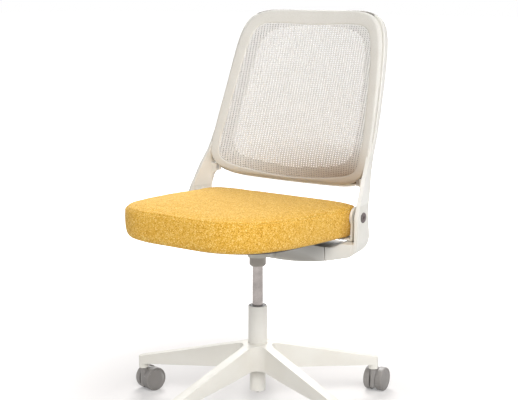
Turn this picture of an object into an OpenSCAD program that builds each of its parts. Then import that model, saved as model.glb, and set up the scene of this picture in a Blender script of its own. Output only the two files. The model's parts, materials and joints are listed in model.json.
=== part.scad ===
// Height-adjustable task chair on a five-star base with twin-wheel castors.
// The origin is on the floor under the column, Z points up, the sitter faces -Y.
// Heights are stacked from the floor up, so each level follows the one below it.

/* [Castors] */
// Diameter of a castor wheel
wheel_d = 65; // [50:1:75]
// Thickness of a castor wheel
wheel_t = 18; // [14:0.5:21]
// Width of a castor over both wheels
castor_w = 55; // [50:1:62]
// Distance from the stem to the axle, along the floor
castor_trail = 23; // [19:0.5:27]
// Diameter of the castor stem
stem_d = 11; // [10:0.5:11.5]

/* [Base] */
// Radius from the column axis to the end of a leg
base_r = 347; // [310:1:370]
// Width of a leg
leg_w = 26; // [24:1:32]
// Height of a leg at its end
leg_end_h = 21; // [18:1:26]
// Rise of the top of the legs from their ends to the column
leg_rise = 72; // [60:1:85]
// Height of the casting at the column
hub_h = 68; // [60:1:76]
// Radius of the fillets between the legs
valley_r = 28; // [22:1:34]
// Wall of the cast legs
leg_wall = 3.2; // [2.6:0.1:4.5]

/* [Column] */
// Outer diameter of the stand tube
tube_d = 50; // [46:1:54]
// Height of the stand tube above the casting
tube_stand_h = 102; // [85:1:112]
// Diameter of the gas cylinder
cyl_d = 28; // [26:0.5:30]
// Length of cylinder that shows between tube and collar
cyl_show_h = 107; // [104:1:125]
// Diameter of the piston rod
rod_d = 10; // [8:0.5:11]
// Diameter of the collar under the mechanism
collar_d = 44; // [38:1:50]
// Height of the collar
collar_h = 25; // [18:1:30]

/* [Carrier] */
// Half the width of the mechanism housing
housing_half_w = 193; // [175:1:205]
// Height of the recline shaft above the collar
shaft_up = 30; // [28:1:34]
// Distance of the recline shaft behind the column
shaft_y = 66; // [60:1:72]
// Diameter of the recline shaft
shaft_d = 16; // [12:0.5:18]
// Height of the hip pivots above the recline shaft
hip_up = 92; // [84:1:100]
// Distance of the hip pivots behind the column
hip_y = 82; // [78:1:88]
// Room between the side of the cushion and the outer plane of a side arm
arm_room = 38; // [36:1:46]
// Thickness of a side arm
side_t = 10.3; // [8.5:0.1:11]
// Toe-in of the side arms seen from above, in degrees
toe_in = 13; // [11:0.5:14]
// Recline of the back at its stop, in degrees
recline_max = 15; // [8:1:16]

/* [Seat] */
// Half the width of the cushion
seat_half_w = 246; // [236:1:247]
// Distance of the front of the cushion from the column
seat_front = 348; // [320:1:370]
// Distance of the rear of the cushion from the column
seat_rear = 130; // [118:1:134]
// Height of the cushion's side at the hips
seat_side_h = 77; // [70:1:86]
// Height of the crown above the upper seam
seat_crown = 12; // [8:1:20]

/* [Back] */
// Distance of the panel's side from the outer plane of a side arm
panel_inset = 20; // [18:1:28]
// Height of the back panel
back_h = 442; // [400:1:470]
// Height of the panel's lower edge above the hip pivots
back_up = 72; // [66:1:84]
// Depth of the curve across the panel
back_dish = 24; // [10:1:34]
// Width of the fabric border at the sides
border_w = 30; // [24:1:36]
// Depth of the back frame at its lower corners, from front to rear
ring_depth = 15; // [12:1:20]

/* [Hidden] */

// Colours
cast_white = "#E4E1DA";
fabric_white = "#DDDAD0";
mesh_white = "#D8D4CC";
castor_grey = "#8A8683";
steel = "#B4AFAC";
dark_metal = "#5A4B48";
collar_grey = "#98918A";
seat_yellow = "#E3B348";
black_plastic = "#33302E";

// Smoothness of round shapes, and of the rounds inside facetted ones
$fn = 64;

// Overrun of a cut past the face that it opens
cut = 1;
// Gap of a still joint, of a running fit and between moving bodies
seat_gap = 0.3;
fit_gap = 0.05;

// Castors
leg_count = 5;
leg_turn = 360 / leg_count;
first_leg = 270;
// Direction in which each castor trails, in degrees from +X
trail_turns = [92, 85, 97, 88, 78];
wheel_r = wheel_d / 2;
socket_gap = 2;
socket_z = wheel_d + socket_gap;
stem_up = 22;
stem_down = 19;
stem_flange_t = 1.4;
stem_flange_r = stem_d / 2 + 2.5 * socket_gap / 2;
hood_gap = 0.5;
hood_w = castor_w - 2 * wheel_t - 2 * hood_gap;
hood_low_z = 13;
hood_round_r = wheel_r - 5 * hood_gap;
axle_d = 8;
axle_inset = 3;
rim_round = 4;
wheel_bead = 0.9;
wheel_recess = 9;
wheel_rim_t = 6;
wheel_hub_r = 9;

// Base casting
socket_drop = 12;
leg_under_end_z = socket_z + socket_drop;
leg_end_z = leg_under_end_z + leg_end_h;
hub_top_z = leg_end_z + leg_rise;
hub_low_z = hub_top_z - hub_h;
stem_r = base_r - leg_w / 2;
hub_ring_r = 36;
arch_r = 115;
arch_drop = 8;
valley_turn = leg_turn / 2;
// Depth that a fillet bites into the sides of its two legs
valley_bite = 0.04;
valley_at = (leg_w / 2 + valley_r - valley_bite) / sin(valley_turn);
leg_slope = leg_rise / (base_r - hub_ring_r);
rib_t = 2.4;
rib_count = 6;
rib_low = 4;

// Column
tube_wall = 2;
tube_low_z = 40;
tube_foot_d = 42;
tube_foot_top_z = hub_low_z + 14 * seat_gap;
tube_taper_h = 10;
tube_chamfer = 1.5;
tube_top_z = hub_top_z + tube_stand_h;
tube_floor_t = 2.5;
bush_len = 84;
bush_lip_h = 2.4;
clip_t = 1.6;
clip_r = 9;
clip_groove = 1;
clip_drop = 1.2;
rod_tail = 3.5;
bearing_r = 15;
washer_t = 1.6;
ball_d = 3.4;
ball_count = 9;
ball_ring_r = 10.2;
cyl_wall = 1.6;
collar_z = tube_top_z + cyl_show_h;
cyl_rise = 112;
cyl_low_z = tube_low_z + cyl_rise;
cyl_gland_h = 14;
piston_rise = 120;
piston_z = cyl_low_z + piston_rise;
piston_h = 15;
taper_r_drop = 1;
taper_h = 38;
collar_chamfer = 4;
carrier_z = collar_z + collar_h;
button_d = 8;
button_h = 5;

// Mechanism
shaft_z = carrier_z + shaft_up;
smile_drop = 9;
smile_rise = 18;
smile_w = 190;
smile_r = (pow(smile_w, 2) + pow(smile_rise, 2)) / (2 * smile_rise);
smile_z = carrier_z - smile_drop;
neck_top_up = 16;
carrier_top_z = shaft_z + neck_top_up;
arm_front = 39;
arm_rear = 50.5;
arm_waist = 39;
arm_round_r = 40;
seam_gap = 3;
toe_cos = cos(toe_in);
toe_sin = sin(toe_in);
// Distance of the outer plane of a side arm from the middle, along its own normal
side_x = seat_half_w + arm_room;
// Place of the hip pivot along a side arm's own plane
hip_along = (hip_y - side_x * toe_sin) / toe_cos;
seam_x = housing_half_w + seam_gap;
// Front and rear faces of the carrier where the arms leave the housing
function y_at_seam(along) = (along + hip_along + seam_x * toe_sin) / toe_cos;
housing_front_y = y_at_seam(-arm_front);
housing_rear_y = y_at_seam(arm_rear);
housing_edge_r = 14;
spring_r = 13;
spring_len = 60;
bush_wall = 4;
shaft_bush_len = 26;
socket_r = 27;
neck_half_w = 40;
neck_up = 2;
neck_z = carrier_z + neck_up;
cheek_x = 60;
cheek_t = 8;
cheek_front = 122;
cheek_floor_t = 4;
cheek_down = 8;
cheek_up = 20;
cheek_low_z = carrier_top_z - cheek_down;
cheek_top_z = carrier_top_z + cheek_up;
guide_pin_d = 8;
guide_y = -100;
guide_up = 6;
guide_z = carrier_top_z + guide_up;
guide_room = 1.4;
// The seat turns by this share of the recline
seat_turn_share = 0.3;

// Hips
hip_z = shaft_z + hip_up;
joint_up = 32;
hip_boss_r = 18.5;
hip_boss_proud = 1;
hip_head_r = 13.5;
hip_head_sink = 4.5;
hip_head_socket_r = 5;
hip_head_socket = 2.6;
hip_pin_r = 6;
hip_bush_r = 9;
hip_flange_r = 16;
hip_flange_t = 2.3;
bracket_t = 5.8;
bracket_head_r = 26;
bracket_half_w = 19;
bracket_room = 1.6;
bracket_x = seat_half_w + bracket_room;
arm_fillet_r = 22;
arm_corner_r = 50;
arm_corner_x = side_x * toe_cos - arm_corner_r;
arm_corner_z = smile_z + smile_r - sqrt(pow(smile_r, 2) - pow(arm_corner_x, 2)) + arm_corner_r;
hip_out_x = (side_x - hip_y * toe_sin) / toe_cos;
hip_face_x = hip_out_x + hip_boss_proud;
hip_inner_x = bracket_x + bracket_t + hip_flange_t + seat_gap;
spigot_h = 17;
spigot_half_w = 20;
spigot_wall = 2.6;
screw_r = 2.5;
screw_head_r = 4.5;
screw_head_t = 2;
screw_side = 11;
screw_drop = 8;

// Height lever
lever_y = 0;
lever_t = 5;
lever_w = 14;
lever_pin_r = 3;
lever_pin_x = 44;
lever_pin_rise = 4;
lever_reach = 222;
lever_paddle_w = 30;
lever_paddle_len = 62;
button_top_z = carrier_z + taper_h + button_h;
lever_low_z = button_top_z + seat_gap;
lever_z = lever_low_z + lever_t / 2;
lever_knuckle_r = 6;
lever_room = 1.2;

// Seat
seat_slope = 1.95;
seat_low = 54.7;
seat_mid_y = 42;
seat_front_power = 3.8;
seat_rear_power = 6;
seat_steps = 72;
seat_low_round = 12;
seat_draw = 2.5;
seat_seam_in = 3;
pan_inset = 23;
pan_t = 8;
pan_front_r = 150;
pan_rear_r = 25;
bracket_flange_t = 5;
bracket_reach = 54;
lug_t = 6;
lug_half_w = 13;
lug_x = cheek_x + cheek_t + seat_gap * 4;
guide_pin_over = 2;

// Back
// Half the width of the panel at its lower edge, before its corners are rounded
back_half_w = side_x - panel_inset;
panel_t = 10;
panel_flare = 12;
flare_rise_share = 0.8;
back_mid_z = hip_z + back_up + back_h / 2;
back_power = 6.4;
back_taper = 20;
back_taper_ease = 28;
back_offset = 13;
back_low_y = hip_y + back_offset;
back_lean_run = 170;
back_lean_ease = 24;
back_bow = 6;
back_curl = 20;
back_curl_share = 0.15;
ring_out = 3;
ring_deepen = 12;
ring_low_h = 36;
ring_top_h = 26;
ring_chamfer = 1.6;
// Web of the frame behind the fabric, with its reach inwards from the panel's outline
web_t = 4;
web_side_w = 54;
web_top_w = 36;
web_low_w = 38;
web_widths = [web_side_w, web_top_w, web_low_w];
border_top_w = 40;
border_low_w = 8;
border_widths = [border_w, border_top_w, border_low_w];
back_steps = 120;
mesh_t = 1.6;
mesh_sink = 1.2;
upright_h = 142;
upright_run = 100;
// Front and rear edges of an upright, as shares of its height and of its run
upright_shares = [[0, -0.255, 0.44], [0.12, -0.15, 0.49], [0.28, -0.024, 0.53],
                  [0.42, 0.09, 0.56], [0.56, 0.229, 0.60], [0.70, 0.37, 0.68],
                  [0.85, 0.48, 0.75], [1, 0.57, 0.79], [1.3, 0.80, 0.88]];
gusset_r = 26;
gusset_t = 9;
gusset_y = back_low_y + back_curl + panel_t;

// Helpers
module mirrored(side) {
    mirror([side < 0 ? 1 : 0, 0, 0]) children();
}

module along_x() {
    rotate([90, 0, 90]) children();
}

module at_legs() {
    for (i = [0:leg_count - 1]) rotate(first_leg + i * leg_turn) children();
}

module ring(r_out, r_in, h) {
    difference() {
        cylinder(r = r_out, h = h);
        translate([0, 0, -cut]) cylinder(r = r_in, h = h + 2 * cut);
    }
}

// A rectangle with round corners, from its centre
module rounded(w, h, r) {
    square([w - 2 * r, h], center = true);
    square([w, h - 2 * r], center = true);
    for (x = [-1, 1], y = [-1, 1]) translate([x * (w / 2 - r), y * (h / 2 - r)]) circle(r = r);
}

function unit3(v) = v / norm(v);

// Base casting
module leg_outline(w, from, to) {
    translate([from, -w / 2]) square([to - from, w]);
}

module star_plan() {
    difference() {
        union() {
            at_legs() {
                leg_outline(leg_w, 0, stem_r);
                translate([stem_r, 0]) circle(d = leg_w);
            }
            polygon([for (i = [0:leg_count - 1]) let (a = first_leg + valley_turn + i * leg_turn)
                     valley_at * [cos(a), sin(a)]]);
        }
        at_legs() rotate(valley_turn) translate([valley_at, 0]) circle(r = valley_r);
    }
}

// Height of the top and of the underside of a leg at a radius
function leg_top(r) = hub_top_z - leg_slope * max(0, r - hub_ring_r);
function leg_under(r) = r < arch_r ? hub_low_z - arch_drop * max(0, r - hub_ring_r) / (arch_r - hub_ring_r)
    : hub_low_z - arch_drop - (hub_low_z - arch_drop - leg_under_end_z) * (r - arch_r) / (stem_r - arch_r);

module leg_body() {
    rotate_extrude()
        polygon([[0, hub_low_z], [hub_ring_r, hub_low_z], [arch_r, leg_under(arch_r)],
                 [base_r + cut, leg_under_end_z], [base_r + cut, leg_top(base_r + cut)],
                 [hub_ring_r, hub_top_z], [0, hub_top_z]]);
}

module leg_hollow() {
    inner_end = stem_r - leg_w / 2;
    rotate_extrude()
        polygon([[hub_ring_r, hub_low_z - arch_drop - leg_rise],
                 [inner_end, hub_low_z - arch_drop - leg_rise],
                 [inner_end, leg_top(inner_end) - leg_wall], [hub_ring_r, leg_top(hub_ring_r) - leg_wall]]);
}

module leg_ribs() {
    span = stem_r - leg_w / 2 - hub_ring_r;
    at_legs() for (k = [1:rib_count]) {
        r = hub_ring_r + k * span / (rib_count + 1);
        translate([r - rib_t / 2, -leg_w / 2, leg_under(r) + rib_low])
            cube([rib_t, leg_w, hub_top_z - leg_under(r)]);
    }
}

module star_base() {
    color(cast_white) difference() {
        union() {
            intersection() {
                linear_extrude(height = hub_top_z) star_plan();
                leg_body();
            }
            at_legs() translate([stem_r, 0, socket_z])
                cylinder(d = leg_w - 2 * seat_gap, h = leg_under_end_z - socket_z + leg_wall);
        }
        difference() {
            intersection() {
                linear_extrude(height = hub_top_z)
                    at_legs() leg_outline(leg_w - 2 * leg_wall, hub_ring_r, stem_r - leg_w / 2);
                leg_hollow();
            }
            leg_ribs();
        }
        cylinder(d = tube_d + 2 * fit_gap, h = hub_top_z + cut);
        at_legs() translate([stem_r, 0, socket_z - cut])
            cylinder(d = stem_d + 2 * fit_gap, h = stem_up + 2 * cut);
    }
}

module castor_stems() {
    color(steel) at_legs() translate([stem_r, 0, 0]) {
        translate([0, 0, socket_z - socket_gap - stem_down])
            cylinder(d = stem_d, h = stem_down + socket_gap + stem_up);
        translate([0, 0, socket_z - stem_flange_t]) cylinder(r = stem_flange_r, h = stem_flange_t);
    }
}

// Castors
module at_castor(i) {
    leg = first_leg + (i - 1) * leg_turn;
    translate([stem_r * cos(leg), stem_r * sin(leg), 0]) rotate(trail_turns[i - 1]) children();
}

module axle_line() {
    translate([castor_trail, 0, wheel_r]) rotate([90, 0, 0]) children();
}

module castor_hood(i) {
    top_z = wheel_d + seat_gap;
    color(castor_grey) at_castor(i) difference() {
        intersection() {
            translate([0, hood_w / 2, 0]) rotate([90, 0, 0]) linear_extrude(height = hood_w) union() {
                translate([castor_trail, wheel_r]) circle(r = hood_round_r);
                translate([-hood_w / 2, hood_low_z]) square([castor_trail + hood_w / 2, top_z - hood_low_z]);
            }
            translate([0, 0, hood_low_z]) linear_extrude(height = top_z - hood_low_z) union() {
                circle(d = hood_w);
                translate([0, -hood_w / 2]) square([castor_trail + wheel_r, hood_w]);
            }
        }
        translate([0, 0, wheel_d - stem_down]) cylinder(d = stem_d + 2 * fit_gap, h = stem_down + cut);
        axle_line() translate([0, 0, -hood_w]) cylinder(d = axle_d + 2 * fit_gap, h = 2 * hood_w);
    }
}

module castor_axle(i) {
    len = castor_w - 2 * axle_inset;
    color(steel) at_castor(i) axle_line() translate([0, 0, -len / 2]) cylinder(d = axle_d, h = len);
}

// A wheel seen from its inner side, which lies at zero
module wheel_shape() {
    difference() {
        rotate_extrude() difference() {
            union() {
                square([wheel_r - rim_round, wheel_t]);
                square([wheel_r, wheel_t - rim_round]);
                translate([wheel_r - rim_round, wheel_t - rim_round]) circle(r = rim_round);
            }
            translate([wheel_hub_r, -cut]) square([wheel_r - wheel_rim_t - wheel_hub_r, wheel_recess + cut]);
            translate([wheel_r - wheel_rim_t, wheel_t]) circle(r = wheel_bead, $fn = 24);
        }
        translate([0, 0, -cut])
            cylinder(d = axle_d + 2 * fit_gap, h = wheel_t - axle_inset + seat_gap + cut);
    }
}

module castor_wheel(i, side) {
    color(castor_grey) at_castor(i) axle_line()
        mirror([0, 0, side < 0 ? 1 : 0]) translate([0, 0, castor_w / 2 - wheel_t]) wheel_shape();
}

// Column
module stand_tube() {
    color(cast_white) rotate_extrude()
        polygon([[rod_d / 2 + seat_gap, tube_low_z], [tube_foot_d / 2 - tube_chamfer, tube_low_z],
                 [tube_foot_d / 2, tube_low_z + tube_chamfer],
                 [tube_foot_d / 2, tube_foot_top_z - tube_taper_h],
                 [tube_d / 2, tube_foot_top_z], [tube_d / 2, tube_top_z - tube_chamfer],
                 [tube_d / 2 - tube_chamfer, tube_top_z], [tube_d / 2 - tube_wall, tube_top_z],
                 [tube_d / 2 - tube_wall, tube_foot_top_z],
                 [tube_foot_d / 2 - tube_wall, tube_foot_top_z - tube_taper_h],
                 [tube_foot_d / 2 - tube_wall, tube_low_z + tube_floor_t],
                 [rod_d / 2 + seat_gap, tube_low_z + tube_floor_t]]);
}

module guide_bush() {
    color(black_plastic) translate([0, 0, tube_top_z - bush_len]) difference() {
        union() {
            cylinder(r = tube_d / 2 - tube_wall - fit_gap, h = bush_len - bush_lip_h);
            cylinder(r = (tube_d + cyl_d) / 4 + tube_wall, h = bush_len);
        }
        translate([0, 0, -cut]) cylinder(r = cyl_d / 2 + fit_gap, h = bush_len + 2 * cut);
    }
}

bearing_z = tube_low_z + tube_floor_t;
module thrust_bearing() {
    ball_z = bearing_z + washer_t + ball_d / 2;
    color(steel) {
        translate([0, 0, bearing_z]) ring(bearing_r, rod_d / 2 + seat_gap, washer_t);
        translate([0, 0, bearing_z + washer_t + ball_d]) ring(bearing_r, rod_d / 2 + seat_gap, washer_t);
        for (i = [0:ball_count - 1]) rotate(i * 360 / ball_count) translate([ball_ring_r, 0, ball_z])
            sphere(d = ball_d - 2 * fit_gap);
        difference() {
            translate([0, 0, ball_z - ball_d / 4])
                ring(bearing_r - washer_t, rod_d / 2 + washer_t, ball_d / 2);
            for (i = [0:ball_count - 1]) rotate(i * 360 / ball_count) translate([ball_ring_r, 0, 0])
                cylinder(d = ball_d + 2 * fit_gap, h = tube_top_z);
        }
    }
}

clip_z = tube_low_z - clip_drop - clip_t;
module rod_clip() {
    color(steel) translate([0, 0, clip_z]) ring(clip_r, rod_d / 2 - clip_groove + fit_gap, clip_t);
}

module piston_rod() {
    rod_low_z = clip_z - rod_tail;
    color(steel) rotate_extrude()
        polygon([[0, rod_low_z], [rod_d / 2, rod_low_z], [rod_d / 2, clip_z - fit_gap],
                 [rod_d / 2 - clip_groove, clip_z - fit_gap],
                 [rod_d / 2 - clip_groove, clip_z + clip_t + fit_gap],
                 [rod_d / 2, clip_z + clip_t + fit_gap], [rod_d / 2, piston_z],
                 [cyl_d / 2 - cyl_wall - fit_gap, piston_z],
                 [cyl_d / 2 - cyl_wall - fit_gap, piston_z + piston_h],
                 [0, piston_z + piston_h]]);
}

cyl_top_z = carrier_z + taper_h;
module gas_cylinder() {
    bore_r = cyl_d / 2 - cyl_wall;
    color(steel) difference() {
        rotate_extrude()
            polygon([[0, cyl_low_z], [cyl_d / 2 - cyl_wall, cyl_low_z], [cyl_d / 2, cyl_low_z + cyl_wall],
                     [cyl_d / 2, carrier_z], [cyl_d / 2 - taper_r_drop, cyl_top_z], [0, cyl_top_z]]);
        translate([0, 0, cyl_low_z - cut]) cylinder(d = rod_d + 2 * fit_gap, h = cyl_gland_h + 2 * cut);
        translate([0, 0, cyl_low_z + cyl_gland_h])
            cylinder(r = bore_r, h = carrier_z - cyl_low_z - 2 * cyl_gland_h);
        translate([0, 0, cyl_top_z - taper_h / 2])
            cylinder(d = button_d + 2 * fit_gap, h = taper_h);
    }
}

module release_button() {
    color(steel) translate([0, 0, cyl_top_z - taper_h / 2 + button_h])
        cylinder(d = button_d, h = taper_h / 2);
}

module column_collar() {
    color(collar_grey) difference() {
        union() {
            translate([0, 0, collar_z])
                cylinder(d1 = collar_d - 2 * collar_chamfer, d2 = collar_d, h = collar_chamfer);
            translate([0, 0, collar_z + collar_chamfer])
                cylinder(d = collar_d, h = collar_h - collar_chamfer);
        }
        translate([0, 0, collar_z - cut]) cylinder(d = cyl_d + 2 * fit_gap, h = collar_h + 2 * cut);
    }
}

// Space above the curved underside that the housing and the arms share
module above_smile() {
    translate([0, 0, smile_z + smile_r]) rotate([90, 0, 0])
        cylinder(r = smile_r, h = 4 * side_x, center = true, $fn = 360);
}

// Section of the carrier across the shaft, from its front face to its rear face
module carrier_section(front, rear, low, top) {
    difference() {
        translate([front, low]) square([rear - front, top - low]);
        translate([front - cut, low - cut]) square([housing_edge_r + cut, housing_edge_r + cut]);
        translate([rear - arm_round_r, low - cut]) square([arm_round_r + cut, arm_round_r + cut]);
    }
    translate([front + housing_edge_r, low + housing_edge_r]) circle(r = housing_edge_r);
    intersection() {
        translate([rear - arm_round_r, low + arm_round_r]) circle(r = arm_round_r);
        translate([front, low]) square([rear - front, top - low]);
    }
}

// Where the front guide pin stands when the back is reclined by an angle
function lean(v, a) = [v[0] * cos(a) + v[1] * sin(a), -v[0] * sin(a) + v[1] * cos(a)];
function guide_at(a) = [shaft_y, shaft_z] + lean([hip_y - shaft_y, hip_z - shaft_z], a)
    + lean([guide_y - hip_y, guide_z - hip_z], a * seat_turn_share);

module guide_slot() {
    slot_r = guide_pin_d / 2 + guide_room;
    run = guide_at(recline_max) - guide_at(0);
    translate(guide_at(0)) rotate(atan2(run[1], run[0])) {
        translate([0, -slot_r]) square([norm(run), 2 * slot_r]);
        for (x = [0, norm(run)]) translate([x, 0]) circle(r = slot_r);
    }
}

module housing_cheeks() {
    difference() {
        union() {
            for (s = [-1, 1]) mirrored(s) translate([cheek_x, 0, 0]) along_x()
                linear_extrude(height = cheek_t)
                polygon([[-cheek_front, cheek_low_z], [-cheek_front, guide_z + cheek_t],
                         [guide_y - cheek_t, cheek_top_z], [guide_y + 5 * cheek_t, cheek_top_z],
                         [-cheek_t, carrier_top_z + cheek_floor_t], [housing_front_y + cut, carrier_top_z],
                         [housing_front_y + cut, cheek_low_z]]);
            translate([-cheek_x - cut, -cheek_front, cheek_low_z])
                cube([2 * (cheek_x + cut), cheek_front + housing_front_y + cut, cheek_floor_t]);
        }
        translate([-2 * cheek_x, 0, 0]) along_x() linear_extrude(height = 4 * cheek_x) guide_slot();
    }
}

module lever_ears() {
    off = lever_w / 2 + lever_room + lever_t / 2;
    for (s = [-1, 1])
        translate([-lever_pin_x - lever_knuckle_r, lever_y + s * off - lever_t / 2, cheek_low_z])
            cube([2 * lever_knuckle_r, lever_t, lever_z + lever_pin_rise + lever_knuckle_r - cheek_low_z]);
}

module mechanism_housing() {
    // Change of the socket's radius over the overrun of its cut
    over = cut * taper_r_drop / taper_h;
    color(cast_white) difference() {
        union() {
            intersection() {
                translate([-housing_half_w, 0, 0]) along_x() linear_extrude(height = 2 * housing_half_w)
                    carrier_section(housing_front_y, housing_rear_y, smile_z, carrier_top_z);
                above_smile();
            }
            translate([0, 0, carrier_z]) cylinder(r = socket_r, h = cyl_top_z - carrier_z - seat_gap);
            translate([-neck_half_w, 0, neck_z])
                cube([2 * neck_half_w, housing_front_y + housing_edge_r + cut,
                      cheek_low_z + cheek_floor_t - neck_z]);
            housing_cheeks();
            lever_ears();
        }
        translate([0, 0, carrier_z - cut])
            cylinder(r1 = cyl_d / 2 + fit_gap + over, r2 = cyl_d / 2 + fit_gap - taper_r_drop - over,
                     h = taper_h + 2 * cut);
        // Room for the collar, on a housing that reaches over it
        translate([0, 0, collar_z]) cylinder(d = collar_d + 2 * seat_gap, h = collar_h);
        translate([-housing_half_w - cut, shaft_y, shaft_z]) rotate([0, 90, 0])
            cylinder(r = shaft_d / 2 + bush_wall + fit_gap, h = 2 * (housing_half_w + cut));
        translate([-housing_half_w + shaft_bush_len + bush_wall, shaft_y, shaft_z]) rotate([0, 90, 0])
            cylinder(r = spring_r + fit_gap, h = 2 * (housing_half_w - shaft_bush_len - bush_wall));
        translate([-lever_pin_x, 0, lever_z + lever_pin_rise]) rotate([90, 0, 0])
            cylinder(r = lever_pin_r + fit_gap, h = 4 * lever_w, center = true);
        translate([-2 * cheek_x, lever_y - lever_w / 2 - lever_room, cyl_top_z - seat_gap])
            cube([2 * cheek_x + lever_w, lever_w + 2 * lever_room, cheek_top_z]);
    }
}

module shaft_bush(side) {
    color(black_plastic) mirrored(side) translate([housing_half_w - shaft_bush_len, shaft_y, shaft_z])
        rotate([0, 90, 0]) ring(shaft_d / 2 + bush_wall, shaft_d / 2 + fit_gap, shaft_bush_len);
}

module torsion_spring(side) {
    color(black_plastic) mirrored(side)
        translate([housing_half_w - shaft_bush_len - bush_wall - spring_len, shaft_y, shaft_z])
        rotate([0, 90, 0]) ring(spring_r, shaft_d / 2 + fit_gap, spring_len);
}

shaft_half = seam_x + shaft_bush_len;
module recline_shaft() {
    color(steel) translate([-shaft_half, shaft_y, shaft_z]) rotate([0, 90, 0])
        cylinder(d = shaft_d, h = 2 * shaft_half);
}

module lever_pin() {
    half = lever_w / 2 + lever_room + lever_t;
    color(steel) translate([-lever_pin_x, lever_y, lever_z + lever_pin_rise]) rotate([90, 0, 0])
        cylinder(r = lever_pin_r, h = 2 * half, center = true);
}

module height_lever() {
    paddle_x = lever_reach - lever_paddle_len / 2;
    color(black_plastic) difference() {
        union() {
            translate([-lever_reach + lever_paddle_len / 2, lever_y - lever_w / 2, lever_low_z])
                cube([lever_reach - lever_paddle_len / 2 + button_d, lever_w, lever_t]);
            translate([-paddle_x, lever_y, lever_low_z]) linear_extrude(height = lever_t)
                rounded(lever_paddle_len, lever_paddle_w, lever_paddle_w / 3);
            translate([-lever_pin_x, lever_y, lever_z + lever_pin_rise]) rotate([90, 0, 0])
                cylinder(r = lever_knuckle_r, h = lever_w, center = true);
        }
        translate([-lever_pin_x, lever_y, lever_z + lever_pin_rise]) rotate([90, 0, 0])
            cylinder(r = lever_pin_r + fit_gap, h = 2 * lever_w, center = true);
    }
}

// Side arms: the frame whose X axis is the normal of a side arm's outer plane,
// with the outer plane at zero and the hip pivot at Y zero
module side_plane() {
    rotate(toe_in) translate([side_x, hip_along, 0]) children();
}

module hip_axis(from_x) {
    translate([from_x, hip_y, hip_z]) rotate([0, 90, 0]) children();
}

joint_z = hip_z + joint_up;
module arm_front_view() {
    inner = side_x * toe_cos;
    difference() {
        union() {
            translate([-side_t, carrier_top_z - cut]) square([side_t, joint_z - carrier_top_z + cut]);
            translate([-inner, smile_z]) square([inner, carrier_top_z - smile_z]);
            translate([-side_t - arm_fillet_r, carrier_top_z - cut])
                square([arm_fillet_r + cut, arm_fillet_r + cut]);
        }
        translate([-side_t - arm_fillet_r, carrier_top_z + arm_fillet_r]) circle(r = arm_fillet_r);
        difference() {
            translate([-arm_corner_r, smile_z - cut])
                square([arm_corner_r + cut, arm_corner_z - smile_z + cut]);
            translate([-arm_corner_r, arm_corner_z]) circle(r = arm_corner_r);
        }
    }
}

module arm_side_view() {
    difference() {
        polygon([[-arm_front, smile_z], [-arm_front, hip_z],
                 [upright_shares[0][1] * upright_run, joint_z], [upright_shares[0][2] * upright_run, joint_z],
                 [arm_waist, hip_z], [arm_rear, hip_z - arm_rear], [arm_rear, smile_z]]);
        translate([arm_rear - arm_round_r, smile_z - cut]) square([arm_round_r + cut, arm_round_r + cut]);
    }
    translate([arm_rear - arm_round_r, smile_z + arm_round_r]) circle(r = arm_round_r);
}

module side_arm(side) {
    color(cast_white) mirrored(side) difference() {
        union() {
            intersection() {
                side_plane() intersection() {
                    translate([0, 2 * side_x, 0]) rotate([90, 0, 0])
                        linear_extrude(height = 4 * side_x) arm_front_view();
                    translate([-2 * side_x, 0, 0]) along_x()
                        linear_extrude(height = 2 * side_x) arm_side_view();
                }
                above_smile();
                translate([seam_x, -2 * side_x, 0]) cube([side_x, 4 * side_x, joint_z]);
            }
            hip_axis(hip_inner_x) cylinder(r = hip_boss_r, h = hip_face_x - hip_inner_x);
        }
        hip_axis(hip_face_x) cylinder(r = hip_boss_r, h = side_t);
        hip_axis(hip_face_x - hip_head_sink) cylinder(r = hip_head_r + seat_gap, h = side_t);
        hip_axis(hip_inner_x - cut) cylinder(r = hip_pin_r + fit_gap, h = hip_face_x - hip_inner_x);
        translate([seam_x - cut, shaft_y, shaft_z]) rotate([0, 90, 0])
            cylinder(d = shaft_d + 2 * fit_gap, h = shaft_bush_len + cut + seat_gap);
        side_plane()
            translate([-side_t + spigot_wall, -spigot_half_w - seat_gap, joint_z - spigot_h - seat_gap])
            cube([side_t - 2 * spigot_wall, 2 * (spigot_half_w + seat_gap), spigot_h + seat_gap + cut]);
        side_plane() at_frame_screws() {
            cylinder(r = screw_r + fit_gap, h = side_t - spigot_wall / 2);
            translate([0, 0, -cut]) cylinder(r = screw_head_r + fit_gap, h = screw_head_t / 2 + cut);
        }
    }
}

// The two screws of a spigot, from the inner face of the arm outwards
module at_frame_screws() {
    for (s = [-1, 1]) translate([-side_t, s * screw_side, joint_z - screw_drop])
        rotate([0, 90, 0]) children();
}

module frame_screws() {
    color(steel) for (side = [-1, 1]) mirrored(side) side_plane() at_frame_screws() {
        cylinder(r = screw_r, h = side_t - spigot_wall);
        cylinder(r = screw_head_r, h = screw_head_t / 2);
    }
}

module hip_bolt(side) {
    color(dark_metal) mirrored(side) difference() {
        union() {
            hip_axis(bracket_x) cylinder(r = hip_pin_r, h = hip_face_x - hip_head_sink - bracket_x + cut);
            hip_axis(hip_face_x - hip_head_sink) cylinder(r = hip_head_r, h = hip_head_sink);
        }
        hip_axis(hip_face_x - hip_head_socket)
            cylinder(r = hip_head_socket_r, h = hip_head_socket + cut, $fn = 6);
    }
}

module hip_bush(side) {
    color(black_plastic) mirrored(side) difference() {
        union() {
            hip_axis(bracket_x) cylinder(r = hip_bush_r, h = bracket_t);
            hip_axis(bracket_x + bracket_t) cylinder(r = hip_flange_r, h = hip_flange_t);
        }
        hip_axis(bracket_x - cut) cylinder(r = hip_pin_r + fit_gap, h = bracket_t + hip_flange_t + 2 * cut);
    }
}

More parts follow.
